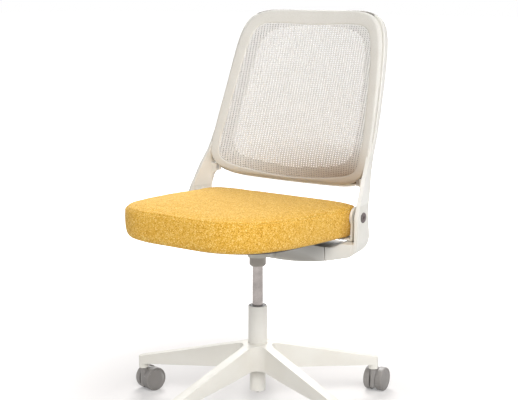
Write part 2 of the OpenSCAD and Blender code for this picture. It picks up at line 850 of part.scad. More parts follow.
// Seat: its frame has the hip axis at zero and lies along the cushion's underside
module seat_frame() {
    translate([0, hip_y, hip_z]) rotate([-seat_slope, 0, 0]) children();
}

module seat_bracket(side) {
    color(cast_white) mirrored(side) seat_frame() difference() {
        union() {
            translate([bracket_x, 0, 0]) rotate([0, 90, 0]) cylinder(r = bracket_head_r, h = bracket_t);
            translate([bracket_x, -bracket_half_w, -seat_low - seat_gap - bracket_flange_t])
                cube([bracket_t, 2 * bracket_half_w, seat_low + seat_gap + bracket_flange_t]);
            translate([bracket_x + bracket_t - bracket_reach, -bracket_half_w,
                       -seat_low - seat_gap - bracket_flange_t])
                cube([bracket_reach, 2 * bracket_half_w, bracket_flange_t]);
        }
        translate([bracket_x - cut, 0, 0]) rotate([0, 90, 0])
            cylinder(r = hip_bush_r + fit_gap, h = bracket_t + 2 * cut);
        at_bracket_screws() cylinder(r = screw_r + fit_gap, h = bracket_flange_t + 2 * cut);
    }
}

// The two screws of a bracket, from under its flange upwards
module at_bracket_screws() {
    for (s = [-1, 1])
        translate([bracket_x + bracket_t - bracket_reach + screw_side, s * screw_side,
                   -seat_low - seat_gap - bracket_flange_t - cut]) children();
}

module pan_plan() {
    half = seat_half_w - pan_inset;
    front = -(seat_front + hip_y) + pan_inset;
    rear = seat_rear - hip_y - pan_inset;
    translate([-half, front + pan_front_r]) square([2 * half, rear - front - pan_front_r - pan_rear_r]);
    translate([-half + pan_front_r, front]) square([2 * (half - pan_front_r), rear - front]);
    translate([-half + pan_rear_r, rear - 2 * pan_rear_r]) square([2 * (half - pan_rear_r), 2 * pan_rear_r]);
    for (s = [-1, 1]) {
        translate([s * (half - pan_front_r), front + pan_front_r]) circle(r = pan_front_r);
        translate([s * (half - pan_rear_r), rear - pan_rear_r]) circle(r = pan_rear_r);
    }
}

// Place of the guide pin in the frame of the seat
guide_in_seat = lean([guide_y - hip_y, guide_z - hip_z], -seat_slope);
module seat_pan() {
    color(black_plastic) seat_frame() difference() {
        union() {
            translate([0, 0, -seat_low - seat_gap]) linear_extrude(height = pan_t) pan_plan();
            for (s = [-1, 1]) mirrored(s) translate([lug_x, 0, 0]) along_x() linear_extrude(height = lug_t) {
                translate(guide_in_seat) circle(r = lug_half_w);
                translate([guide_in_seat[0] - lug_half_w, guide_in_seat[1]])
                    square([2 * lug_half_w, -seat_low - guide_in_seat[1]]);
            }
        }
        translate([-2 * lug_x, guide_in_seat[0], guide_in_seat[1]]) rotate([0, 90, 0])
            cylinder(d = guide_pin_d + 2 * fit_gap, h = 4 * lug_x);
        for (s = [-1, 1]) mirrored(s) at_bracket_screws()
            cylinder(r = screw_r + fit_gap, h = bracket_flange_t + pan_t);
    }
}

module seat_screws() {
    color(steel) seat_frame() for (s = [-1, 1]) mirrored(s) at_bracket_screws() {
        translate([0, 0, cut]) cylinder(r = screw_r, h = bracket_flange_t + pan_t - screw_head_t);
        translate([0, 0, cut - screw_head_t]) cylinder(r = screw_head_r, h = screw_head_t);
    }
}

module guide_pin() {
    half = lug_x + lug_t + guide_pin_over;
    color(steel) translate([-half, guide_y, guide_z]) rotate([0, 90, 0])
        cylinder(d = guide_pin_d, h = 2 * half);
}

// Outline of the cushion at an angle, drawn in by an inset
function cushion_edge(a, inset) =
    let (reach = sin(a) > 0 ? seat_rear - seat_mid_y : seat_front + seat_mid_y,
         power = sin(a) > 0 ? seat_rear_power : seat_front_power,
         c = abs(cos(a)), s = abs(sin(a)),
         k = 1 / pow(pow(c, power) + pow(s, power), 1 / power))
    [(seat_half_w - inset) * k * cos(a), seat_mid_y - hip_y + (reach - inset) * k * sin(a)];

// Rings of the cushion from its underside to its crown: inset and height
cushion_top = seat_side_h - seat_low;
cushion_rings = concat(
    [[3 * seat_low_round, -seat_low], [seat_low_round, -seat_low],
     [seat_low_round / 4, -seat_low + seat_low_round / 3],
     [0, -seat_low + seat_low_round], [seat_draw, (cushion_top - seat_low) / 2],
     [0, cushion_top - seat_low_round], [seat_seam_in / 2, cushion_top - seat_seam_in],
     [seat_seam_in, cushion_top]]);
// Rings of the crown: share of the width, and of the crown's height
crown_shares = [[0.92, 0.3], [0.8, 0.55], [0.6, 0.82], [0.34, 0.96]];

module cushion_body() {
    n = seat_steps;
    step = 360 / n;
    rings = concat(
        [for (r = cushion_rings)
            [for (i = [0:n - 1]) let (p = cushion_edge(i * step, r[0])) [p[0], p[1], r[1]]]],
        [for (c = crown_shares) [for (i = [0:n - 1]) let (p = cushion_edge(i * step, seat_seam_in),
            mid = seat_mid_y - hip_y - seat_front / 4)
            [p[0] * c[0], mid + (p[1] - mid) * c[0], cushion_top + seat_crown * c[1]]]]);
    count = len(rings);
    top = [0, seat_mid_y - hip_y - seat_front / 4, cushion_top + seat_crown];
    points = concat([for (r = rings) each r], [top]);
    faces = concat(
        [[for (i = [0:n - 1]) i]],
        [for (k = [0:count - 2], i = [0:n - 1]) let (j = (i + 1) % n)
            each [[k * n + i, (k + 1) * n + i, (k + 1) * n + j], [k * n + i, (k + 1) * n + j, k * n + j]]],
        [for (i = [0:n - 1]) let (j = (i + 1) % n) [(count - 1) * n + i, count * n, (count - 1) * n + j]]);
    polyhedron(points = points, faces = faces);
}

module seat_cushion() {
    color(seat_yellow) seat_frame() difference() {
        cushion_body();
        translate([0, 0, -seat_low - cut]) linear_extrude(height = pan_t + cut)
            offset(delta = seat_gap) pan_plan();
    }
}

// Back: the surface that the front of the fabric follows
function back_share(z) = (z - hip_z - back_up) / back_h;
function back_width(z) = back_half_w - back_taper * back_share(z) - back_taper_ease * pow(back_share(z), 2);
function back_y(x, z) = back_low_y + back_lean_run * back_share(z) - back_lean_ease * pow(back_share(z), 2)
    + back_curl * pow(max(0, 1 - back_share(z) / back_curl_share), 2)
    + back_dish * (1 - pow(x / back_width(z), 2));

// The panel's outline seen from the front, at an angle and moved out by a distance
function back_edge(a, out) =
    let (c = abs(cos(a)), s = abs(sin(a)),
         k = 1 / pow(pow(c, back_power) + pow(s, back_power), 1 / back_power),
         z = back_mid_z + (back_h / 2 + out) * k * sin(a) - back_bow * pow(max(0, -sin(a)), 4))
    [(back_width(z) + out) * k * cos(a), z];

// A point on the curved front, inwards from the outline by a distance
function on_back(a, out, inwards) =
    let (p = back_edge(a, out), t = back_edge(a + 90 / back_steps, out) - p,
         q = p + inwards * [-t[1], t[0]] / norm(t))
    [q[0], back_y(q[0], q[1]), q[1]];

// Direction in which the frame and the border are thick: rearwards and along the side arms
function back_rear(p) = unit3([-toe_sin * pow(p[0] / back_half_w, 3), 1,
    -(back_lean_run - 2 * back_lean_ease * back_share(p[2])) / back_h]);

// Width of a band at an angle, from its widths at the sides, at the top and at the bottom
function band_width(a, widths) = widths[0] + (widths[1] - widths[0]) * pow(max(0, sin(a)), 4)
    + (widths[2] - widths[0]) * pow(max(0, -sin(a)), 4);

// A closed band along the panel's outline, with a chamfered section that widens and deepens upwards
module back_band(out, depth, deep, deepen, widths, chamfer) {
    n = back_steps;
    points = [for (i = [0:n - 1]) let (
            a = (i + 0.5) * 360 / n, w = band_width(a, widths), p = on_back(a, out, 0), d = back_rear(p),
            up = max(0, back_share(p[2])), t = deep + deepen * up,
            flare = panel_flare * up * pow(p[0] / back_width(p[2]), 3),
            from = flare * max(0, min(1, depth / panel_t)), to = flare * min(1, (depth + t) / panel_t),
            corners = [[chamfer, 0, from], [w - chamfer, 0, 0], [w, chamfer, 0], [w, t - chamfer, 0],
                       [w - chamfer, t, 0], [chamfer, t, to], [0, t - chamfer, to], [0, chamfer, from]])
        each [for (c = corners) on_back(a, out, c[0]) + (depth + c[1]) * d
              + [c[2], 0, flare_rise_share * abs(c[2]) * max(0, sin(a))]]];
    faces = [for (i = [0:n - 1], k = [0:7]) let (j = (i + 1) % n, l = (k + 1) % 8)
        each [[i * 8 + k, j * 8 + l, j * 8 + k], [i * 8 + k, i * 8 + l, j * 8 + l]]];
    polyhedron(points = points, faces = faces);
}

// The flat web inside the ring, which shows through the knit
module back_web() {
    n = back_steps;
    front = panel_t + seat_gap + ring_chamfer;
    points = [for (i = [0:n - 1]) let (
            a = (i + 0.5) * 360 / n, e = back_edge(a, -band_width(a, web_widths)),
            outer = on_back(a, ring_out, 3 * ring_chamfer), inner = [e[0], back_y(e[0], e[1]), e[1]],
            d = back_rear(outer))
        each [outer + front * d, inner + front * d, inner + (front + web_t) * d, outer + (front + web_t) * d]];
    faces = [for (i = [0:n - 1], k = [0:3]) let (j = (i + 1) % n, l = (k + 1) % 4)
        each [[i * 4 + k, j * 4 + l, j * 4 + k], [i * 4 + k, i * 4 + l, j * 4 + l]]];
    polyhedron(points = points, faces = faces);
}

module upright() {
    side_plane() {
        translate([-side_t, 0, 0]) along_x() linear_extrude(height = side_t)
            polygon(concat([for (s = upright_shares)
                            [s[1] * upright_run, joint_z + seat_gap + s[0] * upright_h]],
                           [for (i = [len(upright_shares) - 1:-1:0]) let (s = upright_shares[i])
                            [s[2] * upright_run, joint_z + seat_gap + s[0] * upright_h]]));
        difference() {
            translate([-side_t + spigot_wall + fit_gap, -spigot_half_w, joint_z - spigot_h])
                cube([side_t - 2 * spigot_wall - 2 * fit_gap, 2 * spigot_half_w, spigot_h + side_t]);
            at_frame_screws() cylinder(r = screw_r + fit_gap, h = side_t);
        }
    }
}

// The web between an upright and the lower rail, with a round corner
module gusset() {
    low_z = hip_z + back_up - gusset_r;
    inner_x = (side_x - side_t - gusset_y * toe_sin) / toe_cos;
    translate([0, gusset_y, 0]) rotate([90, 0, 0])
        linear_extrude(height = gusset_t, center = true) difference() {
        translate([inner_x - gusset_r, low_z]) square([gusset_r + side_t / 2, gusset_r + ring_low_h / 2]);
        translate([inner_x - gusset_r, low_z]) circle(r = gusset_r);
    }
}

// The panel's border, made larger all round by a gap
module panel_shape(gap) {
    back_band(gap, -gap, panel_t + 2 * gap, 0, [for (w = border_widths) w + 2 * gap], panel_t / 4);
}

module back_frame() {
    color(cast_white) difference() {
        union() {
            back_band(ring_out, panel_t + seat_gap, ring_depth, ring_deepen, [side_t, ring_top_h, ring_low_h],
                      ring_chamfer);
            back_web();
            for (side = [-1, 1]) mirrored(side) {
                upright();
                gusset();
            }
        }
        panel_shape(seat_gap);
    }
}

module panel_frame() {
    color(fabric_white) panel_shape(0);
}

// The knitted sheet inside the border, from the middle out
mesh_shares = [0.25, 0.5, 0.75, 1];
function mesh_point(a, share, deep) =
    let (p = on_back(a, 0, band_width(a, border_widths) + seat_gap), e = back_edge(a, 0),
         x = p[0] * share, z = back_mid_z + (p[2] - back_mid_z) * share,
         d = back_rear([e[0] * share, 0, back_mid_z + (e[1] - back_mid_z) * share]))
    [x, back_y(x, z), z] + (mesh_sink + deep) * d;

module back_mesh() {
    n = back_steps;
    m = len(mesh_shares);
    points = concat(
        [for (d = [0, mesh_t], s = mesh_shares, i = [0:n - 1]) mesh_point((i + 0.5) * 360 / n, s, d)],
        [for (d = [0, mesh_t]) [0, back_y(0, back_mid_z) + mesh_sink + d, back_mid_z]]);
    half = m * n;
    faces = concat(
        [for (i = [0:n - 1]) let (j = (i + 1) % n)
            each [[2 * half, j, i], [2 * half + 1, half + i, half + j]]],
        [for (k = [0:m - 2], i = [0:n - 1]) let (j = (i + 1) % n, a = k * n, b = (k + 1) * n)
            each [[a + i, b + j, b + i], [a + i, a + j, b + j],
                  [half + a + i, half + b + i, half + b + j], [half + a + i, half + b + j, half + a + j]]],
        [for (i = [0:n - 1]) let (j = (i + 1) % n, b = (m - 1) * n)
            each [[b + i, half + b + j, half + b + i], [b + i, b + j, half + b + j]]]);
    color(mesh_white) polyhedron(points = points, faces = faces);
}

star_base();
castor_stems();
stand_tube();
guide_bush();
thrust_bearing();
rod_clip();
piston_rod();
gas_cylinder();
release_button();
column_collar();
mechanism_housing();
shaft_bush(1);  // shaft_bush_left
shaft_bush(-1);  // shaft_bush_right
torsion_spring(1);  // torsion_spring_left
torsion_spring(-1);  // torsion_spring_right
recline_shaft();
lever_pin();
height_lever();
side_arm(1);  // side_arm_left
side_arm(-1);  // side_arm_right
hip_bolt(1);  // hip_bolt_left
hip_bolt(-1);  // hip_bolt_right
frame_screws();
back_frame();
panel_frame();
back_mesh();
seat_cushion();
seat_pan();
seat_bracket(1);  // seat_bracket_left
seat_bracket(-1);  // seat_bracket_right
hip_bush(1);  // hip_bush_left
hip_bush(-1);  // hip_bush_right
guide_pin();
seat_screws();
for (i = [1:leg_count]) {
    castor_hood(i);
    castor_axle(i);
    castor_wheel(i, 1);
    castor_wheel(i, -1);
}
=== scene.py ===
import json
import math

import bmesh
import bpy
import numpy as np
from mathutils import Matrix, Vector

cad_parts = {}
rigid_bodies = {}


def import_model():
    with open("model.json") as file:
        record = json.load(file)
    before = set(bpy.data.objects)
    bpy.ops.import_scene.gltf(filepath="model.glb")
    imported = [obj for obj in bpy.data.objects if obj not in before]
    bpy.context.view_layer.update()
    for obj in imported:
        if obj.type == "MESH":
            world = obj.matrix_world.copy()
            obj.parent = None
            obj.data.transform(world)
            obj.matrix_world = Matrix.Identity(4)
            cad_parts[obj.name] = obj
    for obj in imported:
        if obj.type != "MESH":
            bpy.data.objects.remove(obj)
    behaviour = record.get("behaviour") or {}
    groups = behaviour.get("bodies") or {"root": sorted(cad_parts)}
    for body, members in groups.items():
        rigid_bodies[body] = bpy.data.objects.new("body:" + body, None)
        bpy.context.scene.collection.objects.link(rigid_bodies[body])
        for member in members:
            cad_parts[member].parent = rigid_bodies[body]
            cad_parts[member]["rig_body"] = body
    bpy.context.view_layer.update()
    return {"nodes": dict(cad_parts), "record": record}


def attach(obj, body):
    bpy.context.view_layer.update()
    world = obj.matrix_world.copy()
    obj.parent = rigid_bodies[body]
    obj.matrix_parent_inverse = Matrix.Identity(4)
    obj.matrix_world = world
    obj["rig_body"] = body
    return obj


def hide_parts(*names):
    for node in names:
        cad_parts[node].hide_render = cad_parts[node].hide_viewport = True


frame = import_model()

scene = bpy.context.scene
MM = 0.001
TURN = 2 * math.pi


# Camera, at the photograph's viewing angle
CAMERA_TURN = math.radians(37.0)
CAMERA_PITCH = math.radians(10.166)
CAMERA_DISTANCE = 3.0212
CAMERA_SIDE = 0.003457
CAMERA_HEIGHT = 1.0979
CAMERA_LENS = 81.79
SENSOR_WIDTH = 36.0
CLIP_END = 100.0

camera_data = bpy.data.cameras.new("camera")
camera_data.lens = CAMERA_LENS
camera_data.sensor_width = SENSOR_WIDTH
camera_data.clip_end = CLIP_END
camera = bpy.data.objects.new("camera", camera_data)
scene.collection.objects.link(camera)
camera.location = (CAMERA_SIDE * math.cos(CAMERA_TURN) + CAMERA_DISTANCE * math.sin(CAMERA_TURN),
                   CAMERA_SIDE * math.sin(CAMERA_TURN) - CAMERA_DISTANCE * math.cos(CAMERA_TURN),
                   CAMERA_HEIGHT)
camera.rotation_euler = (math.radians(90.0) - CAMERA_PITCH, 0.0, CAMERA_TURN)
scene.camera = camera
scene.view_settings.view_transform = "Standard"


# Sizes of the back, in millimetres
HIP_Z, BACK_UP, BACK_H, BACK_HALF_W = 528.0, 72.0, 442.0, 264.0
BACK_LOW_Z, BACK_TOP_Z = HIP_Z + BACK_UP, HIP_Z + BACK_UP + BACK_H
BACK_MID_Z = BACK_LOW_Z + BACK_H / 2
BACK_LOW_Y, BACK_LEAN, BACK_SAG, BACK_BOW = 95.0, 170.0, 24.0, 24.0
BACK_TUCK, BACK_TUCK_SHARE = 20.0, 0.15
BACK_TAPER, BACK_TAPER_MORE = 20.0, 28.0
BACK_POWER, BACK_DROP = 6.4, 6.0
PANEL_T, BORDER_SIDE, BORDER_TOP, BORDER_LOW = 10.0, 30.0, 40.0, 8.0
TOE_SIN = math.sin(math.radians(13.0))


# Materials
def linear(hex_colour):
    parts = [int(hex_colour[i:i + 2], 16) / 255 for i in (1, 3, 5)]
    return [p / 12.92 if p <= 0.04045 else ((p + 0.055) / 1.055) ** 2.4 for p in parts] + [1.0]


class Material:
    """A material with one Principled shader, and short calls for the nodes that feed it."""

    def __init__(self, name, **values):
        self.data = bpy.data.materials.new(name)
        self.data.use_nodes = True
        self.tree = self.data.node_tree
        self.shader = next(n for n in self.tree.nodes if n.type == "BSDF_PRINCIPLED")
        self.output = next(n for n in self.tree.nodes if n.type == "OUTPUT_MATERIAL")
        for key, value in values.items():
            self.socket(key).default_value = value

    def socket(self, key):
        return self.shader.inputs[key.replace("_", " ").title().replace("Ior", "IOR")]

    def node(self, kind, inputs=None, **settings):
        made = self.tree.nodes.new(kind)
        for key, value in settings.items():
            setattr(made, key, value)
        for key, value in (inputs or {}).items():
            self.put(made.inputs[key], value)
        return made

    def put(self, socket, value):
        if isinstance(value, bpy.types.NodeSocket):
            self.tree.links.new(value, socket)
        else:
            socket.default_value = value

    def place(self, scale=(1.0, 1.0, 1.0)):
        coords = self.node("ShaderNodeTexCoord").outputs["Object"]
        return self.node("ShaderNodeMapping", {"Vector": coords, "Scale": scale}).outputs["Vector"]

    def axes(self, vector=None):
        return self.node("ShaderNodeSeparateXYZ", {"Vector": vector or self.place()}).outputs

    def noise(self, size, detail=2.0, where=None, roughness=0.5):
        """Noise whose features are about size metres across."""
        made = self.node("ShaderNodeTexNoise", {"Vector": where or self.place(), "Scale": 1.0 / size,
                                                "Detail": detail, "Roughness": roughness})
        return made.outputs["Fac"]

    def maths(self, how, a, b=None, c=None):
        made = self.node("ShaderNodeMath", operation=how)
        for i, value in enumerate((a, b, c)):
            if value is not None:
                self.put(made.inputs[i], value)
        return made.outputs[0]

    def wave(self, value, pitch):
        return self.maths("SINE", self.maths("MULTIPLY", value, TURN / pitch))

    def span(self, value, low, high, to_low, to_high):
        made = self.node("ShaderNodeMapRange", {"Value": value, "From Min": low, "From Max": high,
                                                "To Min": to_low, "To Max": to_high})
        return made.outputs["Result"]

    def ramp(self, value, stops):
        made = self.node("ShaderNodeValToRGB", {"Fac": value})
        steps = made.color_ramp.elements
        while len(steps) < len(stops):
            steps.new(0.5)
        for step, (at, colour) in zip(steps, stops):
            step.position = at
            step.color = linear(colour)
        return made.outputs["Color"]

    def mix(self, share, a, b, how="MIX"):
        made = self.node("ShaderNodeMix", data_type="RGBA", blend_type=how)
        self.put(made.inputs[0], share)
        self.put(made.inputs[6], a)
        self.put(made.inputs[7], b)
        return made.outputs[2]

    def shaded(self, colour, shade):
        grey = self.node("ShaderNodeCombineColor", {0: shade, 1: shade, 2: shade}).outputs[0]
        return self.mix(1.0, colour, grey, "MULTIPLY")

    def bump(self, height, depth, strength):
        made = self.node("ShaderNodeBump", {"Height": height, "Distance": depth, "Strength": strength})
        return made.outputs["Normal"]

    def attribute(self, name):
        return self.node("ShaderNodeAttribute", attribute_name=name).outputs["Fac"]

    def feed(self, **sockets):
        for key, value in sockets.items():
            self.put(self.socket(key), value)


# Painted shade: where the back's knit, border and web darken to brown towards the lower corner, for shadow
# and the seat's yellow bounce light; from none to full across and down, in millimetres
SHADE_FROM_X, SHADE_FULL_X = -150.0, 200.0
SHADE_FROM_Z, SHADE_FULL_Z = 712.0, 622.0
# The border covers the web's outer part, and the web's painted grey shade fades in at the edges of what it
# leaves
WEB_INSET, WEB_FADE, WEB_BELOW = 24.0, 6.0, 2.0


def painted_corner_shade(m):
    """Share of the painted brown shade that the back takes on towards its lower corner."""
    axes = m.axes()
    return m.maths("MULTIPLY", m.span(axes[0], SHADE_FROM_X * MM, SHADE_FULL_X * MM, 0.0, 1.0),
                   m.span(axes[2], SHADE_FULL_Z * MM, SHADE_FROM_Z * MM, 1.0, 0.0))


def painted_web_shade(m, base):
    """Painted shade on the frame's forward-facing web behind the knit: greyer, and browner towards its lower
    corner.
    """
    axes = m.axes()
    normal = m.node("ShaderNodeNewGeometry").outputs["Normal"]
    facing = m.span(m.axes(normal)[1], -0.6, -0.3, 1.0, 0.0)
    low_edge = BACK_HALF_W - WEB_INSET
    top_edge = low_edge - BACK_TAPER - BACK_TAPER_MORE
    edge = m.span(axes[2], BACK_LOW_Z * MM, BACK_TOP_Z * MM, low_edge * MM, top_edge * MM)
    inwards = m.maths("SUBTRACT", edge, m.maths("ABSOLUTE", axes[0]))
    inside = m.span(inwards, 0.0, WEB_FADE * MM, 0.0, 1.0)
    above = m.span(axes[2], (BACK_LOW_Z - WEB_BELOW) * MM, (BACK_LOW_Z + WEB_FADE) * MM, 0.0, 1.0)
    share = m.maths("MULTIPLY", facing, m.maths("MULTIPLY", inside, above))
    # painted shade: grey for the shadowed web seen through the knit, brown towards the lower corner
    web = m.mix(painted_corner_shade(m), linear("#77716A"), linear("#54412D"))
    return m.mix(share, base, web)


def moulded(name, light, dark, roughness, grain=1.1 * MM, depth=0.05 * MM, over=None):
    """Moulded or painted surface: faint clouds in its colour, a fine grain, and a painted highlight that
    lightens its sharp edges.
    """
    cloud_size, mark_size = 90 * MM, 14 * MM
    m = Material(name, roughness=roughness)
    base = m.ramp(m.noise(cloud_size, 3.0), [(0.35, dark), (0.65, light)])
    if over:
        base = over(m, base)
    edge = m.node("ShaderNodeNewGeometry").outputs["Pointiness"]
    # painted highlight: sharp edges lightened towards white
    painted_edge_highlight = m.span(edge, 0.52, 0.62, 0.0, 0.22)
    rough = m.span(m.noise(mark_size, 4.0), 0.3, 0.7, roughness - 0.05, roughness + 0.06)
    m.feed(base_color=m.mix(painted_edge_highlight, base, linear("#FFFFFF")), roughness=rough,
           normal=m.bump(m.noise(grain, 3.0), depth, 0.6))
    return m.data


def woven(m, u, v, pitch):
    """Height of a plain weave with threads of one pitch, from 0 to 1."""
    return m.maths("MULTIPLY_ADD", m.maths("MULTIPLY", m.wave(u, pitch), m.wave(v, pitch)), 0.5, 0.5)


def wool():
    """Hopsack of mottled yellow wool, with stitches along the cushion's seam."""
    thread, stitch, relief = 2.7 * MM, 5.5 * MM, 0.5 * MM
    fleck_size, blot_size, fibre_size = 2.6 * MM, 8 * MM, 0.9 * MM
    wobble_size, wobble_reach = 7 * MM, 0.5 * MM
    m = Material("wool", roughness=0.9, sheen_weight=0.3, sheen_roughness=0.45,
                 specular_ior_level=0.25, sheen_tint=linear("#FFE9B0"))
    axes = m.axes()
    wobble = m.span(m.noise(wobble_size, 2.0), 0.0, 1.0, -wobble_reach, wobble_reach)
    top = m.attribute("top")
    run = m.attribute("run")
    on_top = woven(m, m.maths("ADD", axes[0], wobble), m.maths("ADD", axes[1], wobble), thread)
    on_side = woven(m, m.maths("ADD", run, wobble), m.maths("ADD", axes[2], wobble), thread)
    weave = m.maths("ADD", m.maths("MULTIPLY", on_top, top),
                    m.maths("MULTIPLY", on_side, m.maths("SUBTRACT", 1.0, top)))
    flecks = m.noise(fleck_size, 2.0, roughness=0.65)
    blots = m.noise(blot_size, 2.0)
    fibres = m.noise(fibre_size, 2.0, roughness=0.7)
    tone = m.maths("MULTIPLY_ADD", flecks, 0.66, m.maths("MULTIPLY", blots, 0.2))
    tone = m.maths("MULTIPLY_ADD", fibres, 0.14, tone)
    colour = m.ramp(tone, [(0.36, "#B4781C"), (0.45, "#DAA033"), (0.53, "#ECBA4B"), (0.62, "#FCE092")])
    stitches = m.span(m.wave(run, stitch), -1.0, 1.0, 0.16, 0.42)
    seam = m.maths("SUBTRACT", 1.0, m.maths("MULTIPLY", m.attribute("seam"), stitches))
    shade = m.maths("MULTIPLY", m.span(weave, 0.0, 1.0, 0.94, 1.0), seam)
    height = m.maths("MULTIPLY_ADD", flecks, 0.5, m.maths("MULTIPLY_ADD", fibres, 0.3, weave))
    m.feed(base_color=m.shaded(colour, shade), normal=m.bump(height, relief, 0.8))
    return m.data


def ribbed_knit():
    """Fine rib of the border, with its rows along the surface's own direction."""
    row_pitch, loop_pitch, relief = 2.1 * MM, 1.9 * MM, 0.15 * MM
    fleck_size, cloud_size = 2.4 * MM, 40 * MM
    m = Material("ribbed_knit", roughness=0.82, sheen_weight=0.2, sheen_roughness=0.5,
                 specular_ior_level=0.3)
    rows = m.wave(m.attribute("across"), row_pitch)
    loops = m.wave(m.attribute("run"), loop_pitch)
    height = m.maths("MULTIPLY_ADD", rows, 0.3, m.maths("MULTIPLY_ADD", loops, 0.2, 0.5))
    tone = m.maths("ADD", m.maths("MULTIPLY", m.noise(fleck_size, 2.0), 0.7),
                   m.maths("MULTIPLY", m.noise(cloud_size, 2.0), 0.3))
    colour = m.ramp(tone, [(0.3, "#D5D2CA"), (0.5, "#DCD9D2"), (0.7, "#E1DFD9")])
    # painted shade: brown towards the back's lower corner
    colour = m.mix(m.maths("MULTIPLY", painted_corner_shade(m), 0.5), colour, linear("#A88D70"))
    m.feed(base_color=m.shaded(colour, m.span(height, 0.0, 1.0, 0.9, 1.02)),
           normal=m.bump(height, relief, 0.4))
    return m.data


def open_knit():
    """Yarn of the open mesh between its holes."""
    twist_pitch, patch_size, relief = 1.0 * MM, 5 * MM, 0.12 * MM
    m = Material("open_knit", roughness=0.7, sheen_weight=0.15, sheen_roughness=0.5,
                 specular_ior_level=0.35)
    axes = m.axes()
    twist = m.wave(m.maths("ADD", axes[0], axes[2]), twist_pitch)
    colour = m.ramp(m.noise(patch_size, 2.0), [(0.35, "#E2E0DD"), (0.65, "#EFEDEA")])
    # painted shade: brown towards the back's lower corner
    colour = m.mix(m.maths("MULTIPLY", painted_corner_shade(m), 0.85), colour, linear("#94795A"))
    m.feed(base_color=colour, normal=m.bump(twist, relief, 0.6))
    return m.data


def bright_steel():
    """Ground steel with fine marks round its axis."""
    stain_size, relief, roughness = 25 * MM, 0.02 * MM, 0.26
    marks_per_metre = (30.0, 30.0, 1400.0)
    m = Material("steel", metallic=1.0, roughness=roughness, anisotropic=0.4)
    marks = m.noise(1.0, 3.0, m.place(marks_per_metre))
    m.feed(base_color=m.ramp(m.noise(stain_size, 3.0), [(0.3, "#8A8582"), (0.7, "#A09A97")]),
           roughness=m.span(marks, 0.3, 0.7, roughness - 0.06, roughness + 0.1),
           normal=m.bump(marks, relief, 0.5))
    return m.data


MOULDED = {
    "cast_white": ("#E8E5DD", "#E4E0D7", 0.42),
    # The arms' and the housing's whites are the cast white darkened as painted shade, for less light falling
    # on them
    "arm_white_painted_shade": ("#DEDBD4", "#DAD7CF", 0.42),
    "housing_white_painted_shade": ("#C9C6BE", "#C2BEB6", 0.42),
    "castor_grey": ("#8E8A87", "#837F7C", 0.46, 0.7 * MM, 0.06 * MM),
    "dark_metal": ("#645654", "#4E4240", 0.34, 0.5 * MM, 0.03 * MM),
    "collar_grey": ("#B3ACA3", "#A8A098", 0.5, 0.8 * MM, 0.05 * MM),
    "black_plastic": ("#3A3735", "#2E2B29", 0.5, 0.8 * MM, 0.06 * MM),
}
FINISHES = {name: moulded(name, *look) for name, look in MOULDED.items()}
FINISHES.update({
    # the back frame's white: the arms' darkened white, with the painted web shade over it
    "frame_white_painted_shade": moulded("frame_white_painted_shade", "#DEDBD4", "#DAD7CF", 0.42, over=painted_web_shade),
    "steel": bright_steel(),
    "seat_fabric": wool(),
    "border_fabric": ribbed_knit(),
    "mesh_fabric": open_knit(),
})
SLOT_OF = {row["node"]: row["material_slot"] for row in frame["record"]["subparts"]}
# Frame, screws, arms and housing take the painted-shade copies of the white
LOOK_OF = {**SLOT_OF, "frame_screws": "arm_white_painted_shade", "back_frame": "frame_white_painted_shade",
           "side_arm_left": "arm_white_painted_shade", "side_arm_right": "arm_white_painted_shade",
           "mechanism_housing": "housing_white_painted_shade"}


# Objects
SMOOTH_BELOW, FACETS_BELOW = math.radians(38.0), math.radians(32.0)


def link(name, mesh):
    ob = bpy.data.objects.new(name, mesh)
    scene.collection.objects.link(ob)
    return ob


def made(name, points, faces, finish):
    mesh = bpy.data.meshes.new(name)
    mesh.from_pydata([tuple(p) for p in points], [], [tuple(f) for f in faces])
    mesh.validate()
    mesh.update()
    for p in mesh.polygons:
        p.use_smooth = True
    mesh.materials.append(FINISHES[finish])
    return link(name, mesh)


def give(ob, name, values):
    layer = ob.data.attributes.new(name, "FLOAT", "POINT")
    layer.data.foreach_set("value", np.asarray(values, np.float32))


def apply_modifiers(ob):
    graph = bpy.context.evaluated_depsgraph_get()
    mesh = bpy.data.meshes.new_from_object(ob.evaluated_get(graph))
    ob.modifiers.clear()
    old = ob.data
    ob.data = mesh
    bpy.data.meshes.remove(old)


def bevelled(ob, width, angle):
    """Rounds the edges sharper than the angle."""
    bevel = ob.modifiers.new("edges", "BEVEL")
    bevel.width = width
    bevel.segments = 3
    bevel.limit_method = "ANGLE"
    bevel.angle_limit = angle
    apply_modifiers(ob)


def rounded(node, width):
    """A copy of a CAD node whose sharp edges are rounded, as a casting's or moulding's are."""
    weld, flat, sharp = 0.002 * MM, math.radians(0.6), math.radians(35.0)
    source = frame["nodes"][node]
    ob = link(node + "_moulding", source.data.copy())
    bm = bmesh.new()
    bm.from_mesh(ob.data)
    bmesh.ops.remove_doubles(bm, verts=bm.verts, dist=weld)
    bmesh.ops.dissolve_limit(bm, angle_limit=flat, verts=bm.verts, edges=bm.edges)
    bm.to_mesh(ob.data)
    bm.free()
    ob.data.materials.clear()
    ob.data.materials.append(FINISHES[LOOK_OF[node]])
    bevelled(ob, width, sharp)
    ob.data.shade_smooth()
    ob.data.set_sharp_from_angle(angle=SMOOTH_BELOW)
    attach(ob, source["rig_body"])
    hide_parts(node)


for node, ob in frame["nodes"].items():
    ob.data.materials.clear()
    ob.data.materials.append(FINISHES[LOOK_OF[node]])
    ob.data.shade_smooth()
    ob.data.set_sharp_from_angle(angle=FACETS_BELOW)

